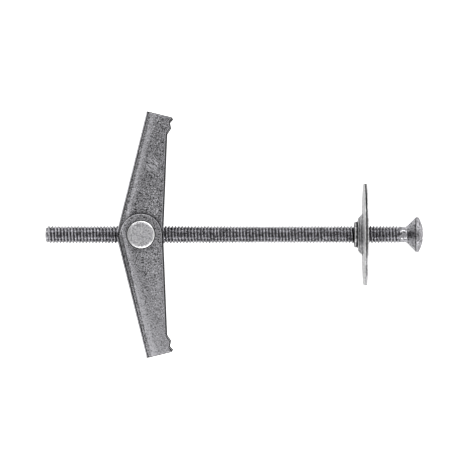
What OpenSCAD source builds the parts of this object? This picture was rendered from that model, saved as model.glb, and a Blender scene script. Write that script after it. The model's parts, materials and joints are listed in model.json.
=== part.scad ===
// Spring toggle bolt for hollow walls and ceilings.
//
// A raised countersunk machine screw carries a loose cup washer and a cross nut. Two pressed
// sheet-metal wings turn on the ends of the nut, and a double torsion spring between them
// swings them open until the ends of their webs meet.
//
// Every piece is drawn about the nut's axis: X runs along the screw from its point to its
// head, Z runs along the nut. lay() then puts the whole bolt down as it comes to rest on a
// flat surface, on the lower end of the nut and the rim of the washer.

/* [Screw] */
// Outside diameter of the thread
thread_d = 3.9; // [3.2:0.1:4.6]
// Pitch of the thread
thread_pitch = 0.7; // [0.5:0.05:0.8]
// Length of the screw from its point to the rim of the head
screw_len = 79.8; // [70:0.1:120]
// Length of the plain neck between the thread and the cone of the head
neck_len = 1.4; // [0.8:0.1:4]
// Radius of the fillet between the neck and the cone of the head
neck_fillet = 0.5; // [0.2:0.05:0.6]
// Diameter of the head
head_d = 7.55; // [7:0.05:9]
// Height of the cylindrical rim of the head
head_rim = 0.6; // [0.1:0.05:0.8]
// Height of the dome above the rim
head_dome = 1.05; // [0.6:0.05:1.6]
// Diameter of the cross recess across its wings
recess_d = 4.9; // [4:0.1:5.4]
// Width of one wing of the cross recess
recess_wing = 1.25; // [0.9:0.05:1.5]
// Depth of the cross recess below the top of the dome
recess_depth = 2.5; // [1.6:0.1:2.8]
// Turn of the cross recess round the screw, from the nut's axis
recess_turn = 45; // [0:5:90]

/* [Cup washer] */
// Outside diameter of the washer
washer_d = 22; // [18:0.5:30]
// Thickness of the washer's sheet
washer_t = 0.8; // [0.5:0.05:1]
// Diameter of the mouth of the cup
cup_mouth = 8.8; // [8.2:0.1:11]
// Diameter of the shoulder at the bottom of the cup
cup_shoulder = 7.1; // [6.6:0.1:7.6]
// Wall of the collar round the hole
collar_wall = 0.75; // [0.5:0.05:0.8]
// Depth of the collar's end below the cup's mouth
collar_depth = 2.8; // [2.6:0.05:4]
// Gap between the washer's flange and the rim of the head, along the screw
washer_gap = 10.5; // [2:0.1:20]

/* [Cross nut] */
// Diameter of the nut's bar
nut_d = 5.7; // [5.4:0.1:6]
// How far each end of the nut stands out of the wings
nut_proud = 0.6; // [0.4:0.05:1.5]
// How much the staked rims stand out over the bar, on the radius
nut_flare = 0.1; // [0.05:0.01:0.2]
// Distance from the nut's axis to the screw's point
nut_from_point = 20.7; // [8:0.1:30]

/* [Wings] */
// Thickness of the wings' sheet
sheet_t = 0.8; // [0.6:0.05:1]
// Length of a wing from the nut's axis to its tip
wing_len = 26; // [20:0.1:40]
// Distance from the nut's axis to the inside of a wing's web
web_in = 4.4; // [4.2:0.05:5.2]
// Diameter of the round ear at the nut
ear_d = 9.2; // [8.6:0.1:10]
// Depth of the channel at its tip, from the outside of the web
tip_depth = 5.3; // [4.5:0.1:7]
// Inside radius of the bends between web and flanges
bend_r = 0.35; // [0.3:0.05:0.5]
// Slope of the open wings towards the head, from square to the screw
open_slope = 13.9; // [8:0.1:20]
// Number of teeth on the edge of each flange
teeth = 2; // [1:1:4]
// Distance from one tooth to the next
tooth_pitch = 2.05; // [1.8:0.05:2.5]
// Height of the teeth above the edge
tooth_h = 0.52; // [0.2:0.02:0.8]
// Length of the slope that leads up to the first tooth
tooth_lead = 1.45; // [0.8:0.05:2]

/* [Spring] */
// Diameter of the spring's wire
wire_d = 0.45; // [0.35:0.05:0.6]
// Whole turns in each of the two coils
coil_turns = 2; // [1:1:3]
// Reach of the spring's legs along the wings, from the nut's axis
leg_reach = 8.5; // [6:0.1:14]

/* [Clearances] */
// Radial clearance between the thread and the nut's cross bore
bore_fit = 0.05; // [0.02:0.01:0.1]
// Radial clearance between the thread and the washer's hole
washer_fit = 0.1; // [0.05:0.01:0.3]
// Radial clearance between the nut's bar and the ears
ear_fit = 0.07; // [0.02:0.01:0.1]
// Side play between the ears of the two wings
ear_play = 0.1; // [0.05:0.01:0.3]
// Clearance between an inner ear and the other wing's web
web_clear = 0.2; // [0.15:0.01:0.3]
// Clearance on each side of the screw line where the open webs meet
stop_clear = 0.05; // [0.02:0.01:0.1]
// Clearance between the screw and what passes beside it
screw_clear = 0.15; // [0.1:0.01:0.4]
// Clearance between neighbouring turns of the spring
turn_clear = 0.02; // [0.01:0.01:0.1]
// Clearance that lets the coils close round the nut as the wings fold
coil_clear = 0.62; // [0.3:0.01:0.7]
// Clearance between the spring and the sheet beside it
spring_clear = 0.06; // [0.03:0.01:0.1]

/* [Hidden] */
$fn = 64;
big = 20;

// Screw, as heights along its axis from the nut
thread_r = thread_d / 2;
root_r = thread_r - 0.613 * thread_pitch;
crest_flat = thread_pitch / 8;
root_flat = thread_pitch / 6;
thread_flank = (thread_pitch - crest_flat - root_flat) / 2;
neck_r = thread_r - 0.325 * thread_pitch;
head_r = head_d / 2;
point_x = -nut_from_point;
point_flat_r = root_r / 2;
point_crown = 0.2;
rim_x = point_x + screw_len;
cone_x = rim_x - (head_r - neck_r);
thread_end_x = cone_x - neck_len;
dome_x = rim_x + head_rim;
dome_top_x = dome_x + head_dome;
dome_r = (head_r * head_r + head_dome * head_dome) / (2 * head_dome);
recess_flank = 26.5;
recess_core_r = 0.9 * recess_wing;

// Washer
washer_r = washer_d / 2;
washer_edge = 0.1;
washer_bore_r = thread_r + washer_fit;
washer_x = rim_x - washer_gap;
collar_r = washer_bore_r + collar_wall;
collar_edge = 0.3;
shoulder_edge = 0.3;
cup_fillet = 0.5;

// Spring, as distances from the screw's axis along the nut
wire_r = wire_d / 2;
coil_in_z = thread_r + screw_clear + wire_r;
coil_out_z = coil_in_z + coil_turns * (wire_d + turn_clear);
coil_r = nut_d / 2 + coil_clear + wire_r;
leg_web = web_in - wire_r - spring_clear;
bridge_r = 2 * wire_d;

// Wings: each has one inner ear and one outer ear, because the two are the same pressing
ear_in_z = coil_out_z + wire_r + spring_clear;
ear_out_z = ear_in_z + sheet_t + ear_play;
stack_z = ear_out_z + sheet_t;
ear_hole_r = nut_d / 2 + ear_fit;
ear_r = ear_d / 2;
ear_in_r = min(ear_r, web_in - web_clear);
web_out = web_in + sheet_t;
bend_out_r = bend_r + sheet_t;
edge_b = web_out - tip_depth;
stop_a = (stop_clear - web_in * sin(open_slope)) / cos(open_slope);
notch_r = thread_r + screw_clear + 0.1;
notch_a = (thread_r + 3 * screw_clear - web_in * sin(open_slope)) / cos(open_slope) - notch_r;
tooth_fall = 0.52 * tooth_pitch;
tooth_land = 0.1;

// Nut
nut_r = nut_d / 2;
nut_half = stack_z + nut_proud;
nut_rim_r = nut_r + nut_flare;
nut_edge = 0.12;
nut_bore_r = thread_r + bore_fit;
nut_sink = 0.3;
stake_r = nut_rim_r - 0.45;
stake_w = 0.3;
stake_depth = 0.2;

// Rest: the screw's pitch at which the nut's lower rim and the washer's rim are level
rest_a = nut_rim_r - nut_edge + washer_x - washer_t + washer_edge;
rest_b = washer_r - washer_edge - nut_half + nut_edge;
rest_pitch = atan2(rest_b, rest_a) + asin((washer_edge - nut_edge) / norm([rest_a, rest_b]));
rest_h = (nut_half - nut_edge) * cos(rest_pitch) + (nut_rim_r - nut_edge) * sin(rest_pitch) + nut_edge;
rest_low_x = point_x * cos(rest_pitch) - point_flat_r * sin(rest_pitch);
rest_high_x = (dome_top_x - dome_r) * cos(rest_pitch) + dome_r;

// Points on an arc about a centre, from one angle to another
function arc(centre, r, from, to, steps = 5) = [
    for (i = [0 : steps])
        let (angle = from + (to - from) * i / steps) centre + r * [cos(angle), sin(angle)]
];

// Lays a piece that is drawn about the nut's axis down on the surface
module lay() {
    translate([-(rest_low_x + rest_high_x) / 2, 0, rest_h])
        rotate([0, -rest_pitch, 0])
            children();
}

// Turns a piece that is drawn upright about Z so that it lies along the screw
module along_screw() {
    rotate([0, 90, 0]) children();
}

// Cross recess: four tapered wings round a centre cone, cut down from z = 0
module cross_recess() {
    over = 1;
    bottom_r = recess_d / 2 - recess_depth * tan(recess_flank);
    translate([0, 0, -recess_depth]) {
        intersection() {
            cylinder(
                h = recess_depth + over, r1 = bottom_r,
                r2 = bottom_r + (recess_depth + over) * tan(recess_flank)
            );
            for (turn = [0, 90])
                rotate([0, 0, turn])
                    translate([-recess_d, -recess_wing / 2, 0])
                        cube([2 * recess_d, recess_wing, recess_depth + over]);
        }
        cylinder(h = recess_depth + over, r1 = recess_core_r / 2, r2 = recess_core_r);
    }
}

// Groove of the thread, from crest to crest: radii, and heights along the screw from x
function thread_groove(x) = [
    [thread_r, x],
    [root_r, x + thread_flank],
    [root_r, x + thread_flank + root_flat],
    [thread_r, x + 2 * thread_flank + root_flat]
];

// Screw: crowned point, chamfer, thread, run-out, neck, fillet, cone and rim in one turned
// outline, with a spherical dome on top. The thread's grooves are rings one pitch apart.
module screw() {
    fillet_x = cone_x - neck_fillet * tan(22.5);
    grooves = floor((thread_end_x - point_x) / thread_pitch) - 1;
    outline = concat(
        [[0, point_x], [point_flat_r, point_x], [root_r, point_x + point_crown]],
        [for (i = [1 : grooves]) each thread_groove(point_x + i * thread_pitch)],
        [[thread_r, thread_end_x], [neck_r, thread_end_x + thread_pitch / 2]],
        arc([neck_r + neck_fillet, fillet_x], neck_fillet, 180, 135),
        [[head_r, rim_x], [head_r, dome_x], [0, dome_x]]
    );
    color("darkgray") lay() along_screw() difference() {
        union() {
            rotate_extrude() polygon(outline);
            intersection() {
                translate([0, 0, dome_top_x - dome_r]) sphere(r = dome_r);
                translate([0, 0, rim_x]) cylinder(h = big, r = head_r);
            }
        }
        translate([0, 0, dome_top_x]) rotate([0, 0, recess_turn]) cross_recess();
    }
}

// Cup washer: a flat flange round a 45-degree cup that takes the screw's head, with a collar
// drawn out round the hole. Its section runs in radius and depth below the cup's mouth.
module cup_washer() {
    slant = washer_t * sqrt(2);
    root = cup_mouth / 2 - washer_t + slant;
    shoulder_r = cup_shoulder / 2;
    shoulder_depth = cup_mouth / 2 + slant - shoulder_r;
    seat_depth = cup_mouth / 2 - washer_bore_r;
    tangent = cup_fillet * tan(22.5);
    edge_in = washer_edge * [1, 1];
    section = concat(
        arc([washer_r, 0] + [-washer_edge, washer_edge], washer_edge, -90, 0, 3),
        arc([washer_r, washer_t] - edge_in, washer_edge, 0, 90, 3),
        arc([root + tangent, washer_t + cup_fillet], cup_fillet, -90, -135),
        arc([shoulder_r, shoulder_depth] - [shoulder_edge, shoulder_edge * tan(22.5)],
            shoulder_edge, 45, 90, 3),
        [[collar_r, shoulder_depth + shoulder_edge * (1 - tan(22.5))]],
        arc([collar_r, collar_depth] - collar_edge * [1, 1], collar_edge, 0, 90, 4),
        [[washer_bore_r, collar_depth], [washer_bore_r, seat_depth]],
        arc([cup_mouth / 2 + tangent, cup_fillet], cup_fillet, 225, 270)
    );
    color("silver") lay() along_screw()
        translate([0, 0, washer_x]) mirror([0, 0, 1])
            difference() {
                rotate_extrude() polygon(section);
                translate([0, 0, seat_depth - big]) cylinder(h = 2 * big, r = washer_bore_r);
            }
}

// Cross nut: a round bar whose ends are ring-staked over the ears, bored across for the screw
module cross_nut() {
    flare_z = stack_z + ear_play / 2;
    half_outline = concat(
        [[nut_r, 0], [nut_r, flare_z], [nut_rim_r, flare_z + nut_flare]],
        arc([nut_rim_r, nut_half] - nut_edge * [1, 1], nut_edge, 0, 90, 3),
        [[stake_r + stake_w / 2, nut_half], [stake_r, nut_half - stake_depth]],
        [[stake_r - stake_w / 2, nut_half], [0, nut_half], [0, 0]]
    );
    color("gainsboro") lay() difference() {
        for (end = [0, 1])
            mirror([0, 0, end]) rotate_extrude() polygon(half_outline);
        along_screw() {
            translate([0, 0, -big]) cylinder(h = 2 * big, r = nut_bore_r);
            for (side = [0, 1])
                mirror([0, 0, side])
                    translate([0, 0, nut_r - nut_sink])
                        cylinder(h = nut_sink, r1 = nut_bore_r, r2 = nut_bore_r + nut_sink);
        }
    }
}

// Outline of the channel's section: flat sides and web with rounded bends, open towards -x
module bent_section(web, low, high, r) {
    translate([-big, low]) square([big + web - r, high - low]);
    translate([-big, low + r]) square([big + web, high - low - 2 * r]);
    for (z = [low + r, high - r])
        translate([web - r, z]) circle(r = r);
}

// Side view of a wing: the ear, the straight open edge, the teeth and the square tip
module wing_side() {
    first_tip = wing_len - tooth_land - (teeth - 1) * tooth_pitch;
    foot = [first_tip - tooth_lead, edge_b];
    touch_angle = atan2(foot[1], foot[0]) - acos(ear_r / norm(foot));
    touch = ear_r * [cos(touch_angle), sin(touch_angle)];
    toothed = [
        for (i = [0 : teeth - 1])
            let (tip = first_tip + i * tooth_pitch)
                each [
                    [tip, edge_b - tooth_h],
                    i < teeth - 1
                        ? [tip + tooth_fall, edge_b]
                        : [wing_len, edge_b - tooth_h / 2]
                ]
    ];
    circle(r = ear_r);
    polygon(concat(
        [[stop_a, 0], touch, foot], toothed, [[wing_len, web_out + 1], [stop_a, web_out + 1]]
    ));
}

// Wing: a pressed channel along +X with its web towards +Y. Its lower flange has the outer
// ear and its upper flange the inner one.
module wing() {
    far = wing_len + 1;
    difference() {
        intersection() {
            translate([-ear_r - 1, 0, 0]) rotate([90, 0, 90])
                linear_extrude(far + ear_r + 1) difference() {
                    bent_section(web_out, -stack_z, ear_in_z + sheet_t, bend_out_r);
                    bent_section(web_in, -ear_out_z, ear_in_z, bend_r);
                }
            translate([0, 0, -big]) linear_extrude(2 * big) wing_side();
        }
        // the inner ear is smaller, so that it turns inside the other wing's web
        linear_extrude(big) difference() {
            translate([-big, -big]) square([big + ear_r, 2 * big]);
            circle(r = ear_in_r);
            translate([0, -ear_in_r]) square(big);
            translate([stop_a, 0]) square(big);
        }
        // the web ends square, where it meets the other wing's
        translate([-big, 0, -ear_out_z]) cube([big + stop_a, big, ear_out_z + ear_in_z]);
        // notch that straddles the screw
        translate([notch_a, 0, 0]) rotate([-90, 0, 0]) cylinder(h = big, r = notch_r);
        translate([notch_a - big, 0, -notch_r]) cube([big, big, 2 * notch_r]);
        translate([0, 0, -big]) cylinder(h = 2 * big, r = ear_hole_r);
    }
}

module left_wing() {
    color("dimgray") lay() rotate([0, 0, 90 - open_slope]) wing();
}

module right_wing() {
    color("gray") lay() rotate([180, 0, 0]) rotate([0, 0, 90 - open_slope]) wing();
}

// Wire swept along a path: each ring's normal is carried over from the ring before it
module swept_wire(path, r, sides) {
    last = len(path) - 1;
    tangents = [
        for (i = [0 : last])
            let (d = path[min(i + 1, last)] - path[max(i - 1, 0)]) d / norm(d)
    ];
    first = cross(tangents[0], [0, 0, 1]);
    normals = [
        for (
            i = 0, n = first / norm(first);
            i <= last;
            i = i + 1,
            n = i > last ? n : let (m = n - (n * tangents[i]) * tangents[i]) m / norm(m)
        ) n
    ];
    rings = [
        for (i = [0 : last], k = [0 : sides - 1])
            let (angle = 360 * k / sides, side = cross(tangents[i], normals[i]))
                path[i] + r * (cos(angle) * normals[i] + sin(angle) * side)
    ];
    skin = [
        for (i = [0 : last - 1], k = [0 : sides - 1])
            let (a = i * sides + k, b = i * sides + (k + 1) % sides)
                each [[a, a + sides, b + sides], [a, b + sides, b]]
    ];
    ends = [
        [for (k = [0 : sides - 1]) k],
        [for (k = [sides - 1 : -1 : 0]) last * sides + k]
    ];
    polyhedron(rings, concat(skin, ends));
}

// Point of the open left wing, given along and across the wing from the nut's axis, at height z
function on_left_wing(p, z) =
    let (turn = 90 - open_slope)
        [p[0] * cos(turn) - p[1] * sin(turn), p[0] * sin(turn) + p[1] * cos(turn), z];

// Torsion spring: one wire with a coil on each side of the screw, a bridge that bears on the
// left wing's web and two free legs that bear on the right wing's
module torsion_spring() {
    reach = [leg_reach, leg_web];
    touch = atan2(leg_web, leg_reach) + acos(coil_r / norm(reach));
    start = 90 - open_slope + touch;
    sweep = 360 * coil_turns + 2 * (180 - start);
    steps = ceil(sweep / 20);
    heel = coil_r * [cos(touch), sin(touch)];
    along = (reach - heel) / norm(reach - heel);
    bridge_corner = [
        for (angle = [90 : -22.5 : 0])
            on_left_wing(reach - bridge_r * (1 - sin(angle)) * along,
                         coil_in_z - bridge_r * (1 - cos(angle)))
    ];
    coil = [
        for (i = [0 : steps])
            let (angle = start + sweep * i / steps)
                [coil_r * cos(angle), coil_r * sin(angle),
                 coil_in_z + (coil_out_z - coil_in_z) * i / steps]
    ];
    free_leg = [
        for (i = [1 : 3])
            let (p = on_left_wing(heel + (reach - heel) * i / 3, coil_out_z)) [p[0], -p[1], p[2]]
    ];
    half = concat(bridge_corner, coil, free_leg);
    other = [for (i = [len(half) - 1 : -1 : 0]) [half[i][0], half[i][1], -half[i][2]]];
    color("slategray") lay() swept_wire(concat(other, half), wire_r, 10);
}

screw();
cup_washer();
cross_nut();
left_wing();
right_wing();
torsion_spring();
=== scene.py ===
import json
import math

import bpy
from mathutils import Matrix, Vector


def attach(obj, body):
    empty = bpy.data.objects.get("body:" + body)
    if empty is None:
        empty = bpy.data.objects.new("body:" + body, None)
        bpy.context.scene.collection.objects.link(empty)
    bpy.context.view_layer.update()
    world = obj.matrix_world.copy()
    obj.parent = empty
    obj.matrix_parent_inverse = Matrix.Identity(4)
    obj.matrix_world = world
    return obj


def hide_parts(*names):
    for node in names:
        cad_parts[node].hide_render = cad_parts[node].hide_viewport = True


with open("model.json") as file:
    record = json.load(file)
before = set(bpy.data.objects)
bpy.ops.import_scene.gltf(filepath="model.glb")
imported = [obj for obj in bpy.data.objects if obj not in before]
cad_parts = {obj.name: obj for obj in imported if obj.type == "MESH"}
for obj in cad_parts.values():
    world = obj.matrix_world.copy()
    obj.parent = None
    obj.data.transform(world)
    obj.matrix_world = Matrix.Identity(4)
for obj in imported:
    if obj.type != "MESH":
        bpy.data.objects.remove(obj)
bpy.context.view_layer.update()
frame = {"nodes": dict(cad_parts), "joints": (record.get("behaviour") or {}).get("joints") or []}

# ---- How the bolt lies ----
# The bolt rests on the lower end of its nut and on the rim of its washer, so its screw climbs
# towards the head. Each piece is modelled about the nut's axis, with X along the screw towards
# the head and Z along the nut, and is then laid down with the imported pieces.
MM = 0.001
joints = {joint["name"]: joint for joint in frame["joints"]}
along_screw = Vector(joints["washer_slide"]["axis"])
along_nut = Vector(joints["left_wing_fold"]["axis"])
across = along_nut.cross(along_screw)
turned = Matrix((along_screw, across, along_nut)).transposed().to_4x4()
LAY = Matrix.Translation(Vector(joints["left_wing_fold"]["pos_m"])) @ turned

# ---- Camera, light and floor ----
# The bolt is seen square to its wings, along the nut, by a long lens. Two long soft lamps stand
# on either side of it, and a third hangs over it towards the screw's point. The floor looks
# white to the camera, but throws little of that light up at the bolt.
LENS_TO_BOLT = 750 * MM
VIEW_ACROSS = 101.3 * MM
VIEW_MIDDLE = Vector((20.15 * MM, -0.09 * MM, 0))
SENSOR = 36
LENS_REACH = 10
# brightness of the light from around, by its height: 0 is level with the bolt, 1 straight above
CEILING_LIGHT = ((0.0, 0.24), (0.30, 0.34), (0.42, 1.0), (0.66, 1.0), (0.80, 0.45), (1.0, 0.36))
FLOOR_ACROSS = 6
FLOOR_GREY = 0.8
FLOOR_ROUGHNESS = 0.9
FLOOR_GLOW = 0.18
WHITE = (1, 1, 1, 1)

bpy.ops.object.camera_add()
camera = bpy.context.object
camera.matrix_world = LAY @ Matrix.Translation(VIEW_MIDDLE + Vector((0, 0, LENS_TO_BOLT)))
camera.data.sensor_width = SENSOR
camera.data.lens = SENSOR * LENS_TO_BOLT / VIEW_ACROSS
camera.data.clip_end = LENS_REACH
bpy.context.scene.camera = camera
bpy.context.scene.view_settings.view_transform = "Standard"


def soft_lamp(name, place, size, glow):
    """A rectangular soft lamp that faces the bolt, given how bright its surface looks."""
    bpy.ops.object.light_add(type="AREA", location=place)
    lamp = bpy.context.object
    lamp.name = name
    lamp.data.shape = "RECTANGLE"
    lamp.data.size, lamp.data.size_y = size
    lamp.data.energy = glow * math.pi * size[0] * size[1]
    lamp.rotation_euler = (-Vector(place)).to_track_quat("-Z", "Y").to_euler()


soft_lamp("lamp_above", place=(0.02, 0.42, 0.24), size=(0.9, 0.14), glow=1.5)
soft_lamp("lamp_below", place=(0.02, -0.42, 0.24), size=(0.9, 0.14), glow=1.8)
soft_lamp("lamp_over", place=(-0.27, 0, 0.88), size=(0.5, 0.16), glow=0.8)

world = bpy.data.worlds.new("studio")
bpy.context.scene.world = world
world.use_nodes = True
nodes, links = world.node_tree.nodes, world.node_tree.links
nodes.clear()
way = nodes.new("ShaderNodeTexCoord")
height = nodes.new("ShaderNodeSeparateXYZ")
ceiling = nodes.new("ShaderNodeValToRGB")
for at, light in CEILING_LIGHT[1:-1]:
    ceiling.color_ramp.elements.new(at)
for element, (at, light) in zip(ceiling.color_ramp.elements, CEILING_LIGHT):
    element.position = at
    element.color = (light, light, light, 1)
sky = nodes.new("ShaderNodeBackground")
backdrop = nodes.new("ShaderNodeBackground")
backdrop.inputs["Color"].default_value = WHITE
seen = nodes.new("ShaderNodeLightPath")
pick = nodes.new("ShaderNodeMixShader")
out = nodes.new("ShaderNodeOutputWorld")
links.new(way.outputs["Generated"], height.inputs[0])
links.new(height.outputs["Z"], ceiling.inputs["Fac"])
links.new(ceiling.outputs["Color"], sky.inputs["Color"])
links.new(seen.outputs["Is Camera Ray"], pick.inputs["Fac"])
links.new(sky.outputs[0], pick.inputs[1])
links.new(backdrop.outputs[0], pick.inputs[2])
links.new(pick.outputs[0], out.inputs["Surface"])

bpy.ops.mesh.primitive_plane_add(size=FLOOR_ACROSS)
floor = bpy.context.object
floor.name = "floor"
floor_paint = bpy.data.materials.new("pale_floor")
floor_paint.use_nodes = True
nodes, links = floor_paint.node_tree.nodes, floor_paint.node_tree.links
paint = nodes["Principled BSDF"]
paint.inputs["Base Color"].default_value = (FLOOR_GREY, FLOOR_GREY, FLOOR_GREY, 1)
paint.inputs["Roughness"].default_value = FLOOR_ROUGHNESS
paint.inputs["Emission Color"].default_value = WHITE
seen = nodes.new("ShaderNodeLightPath")
glow = nodes.new("ShaderNodeMapRange")
glow.inputs["To Min"].default_value = FLOOR_GLOW
links.new(seen.outputs["Is Camera Ray"], glow.inputs["Value"])
links.new(glow.outputs["Result"], paint.inputs["Emission Strength"])
floor.data.materials.append(floor_paint)

# ---- Zinc plate ----
# All the pieces are steel with a barrel-plated zinc coat. It dulls in soft patches and is specked
# where the tumbling pieces struck each other. Each piece marks in an attribute of its mesh where
# the coat is rubbed bright and where a highlight is painted (above 0), and where shade is painted
# dark, as in thread roots and on sheared walls (below 0).
WEAR_AND_PAINTED_LIGHT = "wear_and_painted_light"
PLATE_COLOURS = ("Base", "Dull", "Dark", "Bright", "Rubbed")
PLATE_AMOUNTS = (
    "Patch scale", "Patch amount", "Speck scale", "Bright specks", "Dark specks", "Smooth",
    "Rough", "Rubbed rough", "Painted_light_and_scuffs", "Pits",
)
# each band is where a mark starts to show in its noise and where it shows in full, and each
# coarse value shrinks the scale of the specks for that mark
PATCH_BAND = (0.38, 0.62)
BRIGHT_BAND = (0.50, 0.66)
DARK_BAND = (0.52, 0.36)
DARK_COARSE = 0.83
RUBBED_BAND = (0.28, 0.50)
RUBBED_COARSE = 0.6
PIT_BAND = (0.50, 0.42)
PIT_COARSE = 0.8
# painted shade in crevices from ambient occlusion: its band, how far it looks and how many samples
CREVICE_SHADE_BAND = (0.80, 0.35)
CREVICE_SHADE_REACH = 0.9 * MM
CREVICE_SHADE_SAMPLES = 8
GRAIN_STRENGTH = 0.1
GRAIN_HEIGHT = 0.02 * MM


def plate_group():
    """The zinc coat as a shader group: its colour, its roughness and the height of its grain."""
    group = bpy.data.node_groups.new("zinc_plate", "ShaderNodeTree")
    sockets = group.interface
    for way, kind, names in (
        ("INPUT", "NodeSocketColor", PLATE_COLOURS), ("INPUT", "NodeSocketFloat", PLATE_AMOUNTS),
        ("OUTPUT", "NodeSocketColor", ("Color",)),
        ("OUTPUT", "NodeSocketFloat", ("Roughness", "Height")),
    ):
        for name in names:
            sockets.new_socket(name=name, in_out=way, socket_type=kind)
    nodes, links = group.nodes, group.links
    given = nodes.new("NodeGroupInput")
    made = nodes.new("NodeGroupOutput")
    place = nodes.new("ShaderNodeTexCoord")
    mark = nodes.new("ShaderNodeAttribute")
    mark.attribute_name = WEAR_AND_PAINTED_LIGHT
    # the wings add their painted light and shade, and their scuffs, to the mark
    wear_and_painted_light = nodes.new("ShaderNodeMath")
    links.new(mark.outputs["Fac"], wear_and_painted_light.inputs[0])
    links.new(given.outputs["Painted_light_and_scuffs"], wear_and_painted_light.inputs[1])
    wear_and_painted_light = wear_and_painted_light.outputs[0]

    def noise(scale_socket, detail=1, coarse=1.0):
        """A noise whose scale is one of the group's inputs, made coarser by a factor below 1."""
        texture = nodes.new("ShaderNodeTexNoise")
        texture.inputs["Detail"].default_value = detail
        scale = nodes.new("ShaderNodeMath")
        scale.operation = "MULTIPLY"
        scale.inputs[1].default_value = coarse
        links.new(given.outputs[scale_socket], scale.inputs[0])
        links.new(scale.outputs[0], texture.inputs["Scale"])
        links.new(place.outputs["Object"], texture.inputs["Vector"])
        return texture.outputs["Fac"]

    def band(source, low, high):
        """A mask that goes from 0 to 1 while a value goes from one limit to the other."""
        ranged = nodes.new("ShaderNodeMapRange")
        ranged.inputs["From Min"].default_value = low
        ranged.inputs["From Max"].default_value = high
        links.new(source, ranged.inputs["Value"])
        return ranged.outputs["Result"]

    def times(a, b):
        product = nodes.new("ShaderNodeMath")
        product.operation = "MULTIPLY"
        links.new(a, product.inputs[0])
        links.new(b, product.inputs[1])
        return product.outputs[0]

    def mixed(mask, under, over, data_type="RGBA"):
        """One colour or number laid over another one through a mask."""
        mix = nodes.new("ShaderNodeMix")
        mix.data_type = data_type
        first = {"RGBA": 6, "FLOAT": 2}[data_type]
        links.new(mask, mix.inputs[0])
        links.new(under, mix.inputs[first])
        links.new(over, mix.inputs[first + 1])
        return mix.outputs[{"RGBA": 2, "FLOAT": 0}[data_type]]

    patches = times(band(noise("Patch scale", detail=3), *PATCH_BAND), given.outputs["Patch amount"])
    specks = noise("Speck scale")
    bright = times(band(specks, *BRIGHT_BAND), given.outputs["Bright specks"])
    dark_specks = band(noise("Speck scale", coarse=DARK_COARSE), *DARK_BAND)
    dark = times(dark_specks, given.outputs["Dark specks"])
    # where the mark is above 0 the rubbed colour is laid in specks, for rubbed zinc and painted
    # highlights
    rubbed = times(band(noise("Speck scale", coarse=RUBBED_COARSE), *RUBBED_BAND), band(wear_and_painted_light, 0, 1))
    colour = mixed(patches, given.outputs["Base"], given.outputs["Dull"])
    colour = mixed(bright, colour, given.outputs["Bright"])
    colour = mixed(dark, colour, given.outputs["Dark"])
    colour = mixed(rubbed, colour, given.outputs["Rubbed"])
    pit_specks = band(noise("Speck scale", coarse=PIT_COARSE), *PIT_BAND)
    pits = times(pit_specks, times(rubbed, given.outputs["Pits"]))
    colour = mixed(pits, colour, given.outputs["Dark"])
    # painted shade: crevices take the dark colour where the ambient occlusion is low
    crevice_shade = nodes.new("ShaderNodeAmbientOcclusion")
    crevice_shade.inputs["Distance"].default_value = CREVICE_SHADE_REACH
    crevice_shade.samples = CREVICE_SHADE_SAMPLES
    colour = mixed(band(crevice_shade.outputs["AO"], *CREVICE_SHADE_BAND), colour, given.outputs["Dark"])
    # where the mark is below 0 the dark colour is laid on, as painted shade and the washer's dark
    # draw marks
    colour = mixed(band(wear_and_painted_light, 0, -1), colour, given.outputs["Dark"])
    links.new(colour, made.inputs["Color"])
    rough = mixed(patches, given.outputs["Smooth"], given.outputs["Rough"], "FLOAT")
    rough = mixed(rubbed, rough, given.outputs["Rubbed rough"], "FLOAT")
    links.new(rough, made.inputs["Roughness"])
    links.new(specks, made.inputs["Height"])
    return group


plate = plate_group()


def grey(value, violet=0.6):
    """A grey with the faint violet of zinc."""
    return (value, value * (1 - 0.016 * violet), value * (1 + 0.07 * violet), 1)


def zinc(name, **values):
    """A zinc-plated steel: the group's inputs are given by name, with _ for a space."""
    material = bpy.data.materials.new(name)
    material.use_nodes = True
    nodes, links = material.node_tree.nodes, material.node_tree.links
    steel = nodes["Principled BSDF"]
    steel.inputs["Metallic"].default_value = 1
    coat = nodes.new("ShaderNodeGroup")
    coat.node_tree = plate
    for key, value in values.items():
        coat.inputs[key.replace("_", " ").capitalize()].default_value = value
    grain = nodes.new("ShaderNodeBump")
    grain.inputs["Strength"].default_value = GRAIN_STRENGTH
    grain.inputs["Distance"].default_value = GRAIN_HEIGHT
    links.new(coat.outputs["Height"], grain.inputs["Height"])
    links.new(coat.outputs["Color"], steel.inputs["Base Color"])
    links.new(coat.outputs["Roughness"], steel.inputs["Roughness"])
    links.new(grain.outputs["Normal"], steel.inputs["Normal"])
    return material


def mark_wear_and_painted_light(piece, wear_and_light):
    """Writes, at each corner of each face, how far the zinc is rubbed bright and given painted
    highlights, and how dark its painted shade is.
    """
    mesh = piece.data
    marks = mesh.attributes.new(WEAR_AND_PAINTED_LIGHT, "FLOAT", "CORNER")
    marks.data.foreach_set("value", [
        wear_and_light(face, mesh.vertices[corner].co) for face in mesh.polygons for corner in face.vertices
    ])


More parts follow.
